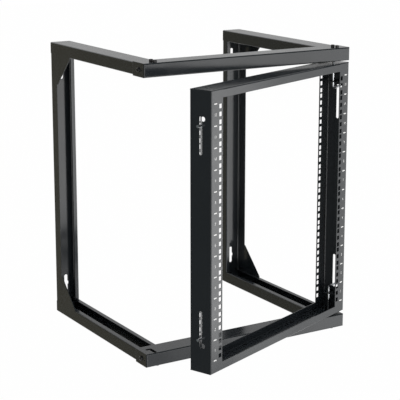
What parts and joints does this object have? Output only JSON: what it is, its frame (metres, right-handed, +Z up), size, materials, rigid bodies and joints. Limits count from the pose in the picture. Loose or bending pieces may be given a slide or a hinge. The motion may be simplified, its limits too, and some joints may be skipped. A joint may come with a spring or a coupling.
{
  "type": "wall mount open frame rack",
  "caption": "Black steel wall-mount open frame rack: folded side frames and front beams carry a hinged gate with drilled rails for 19 inch equipment.",
  "frame": {"origin": "on the wall plane, in the middle of the right upright's back web, half way up the rack", "axes": "+X to the right seen from the front, +Y into the wall, +Z up"},
  "size_m": [0.5373, 0.6352, 0.659],
  "materials": {
    "frame_coat": "satin black powder coat",
    "gate_coat": "satin black powder coat",
    "zinc": "zinc plated"
  },
  "bodies": {
    "frame": {"left_upright": "frame_coat", "right_upright": "frame_coat", "left_bottom_arm": "frame_coat", "left_bottom_gusset": "frame_coat", "left_top_arm": "frame_coat", "left_top_gusset": "frame_coat", "right_bottom_arm": "frame_coat", "right_bottom_gusset": "frame_coat", "right_top_arm": "frame_coat", "right_top_gusset": "frame_coat", "top_beam": "frame_coat", "bottom_beam": "frame_coat", "hinge_spacer": "zinc"},
    "gate": {"gate_left_upright": "gate_coat", "gate_right_upright": "gate_coat", "gate_top_rail": "gate_coat", "gate_bottom_rail": "gate_coat", "left_bottom_guide": "gate_coat", "left_top_guide": "gate_coat", "right_bottom_guide": "gate_coat", "right_top_guide": "gate_coat", "top_hinge_pin": "zinc", "bottom_hinge_pin": "zinc"},
    "top_latch": {"top_latch_pin": "zinc"},
    "bottom_latch": {"bottom_latch_pin": "zinc"}
  },
  "joints": [
    {"name": "gate_swing", "type": "hinge", "parent": "frame", "child": "gate", "pos_m": [0.003, -0.423, 0], "axis": [0, 0, 1], "range_deg": [-21.8, 98.2]},
    {"name": "top_latch_slide", "type": "slide", "parent": "gate", "child": "top_latch", "axis": [0, 0, 1], "range_m": [-0.008, 0.014]},
    {"name": "bottom_latch_slide", "type": "slide", "parent": "gate", "child": "bottom_latch", "axis": [0, 0, -1], "range_m": [-0.008, 0.014]}
  ]
}
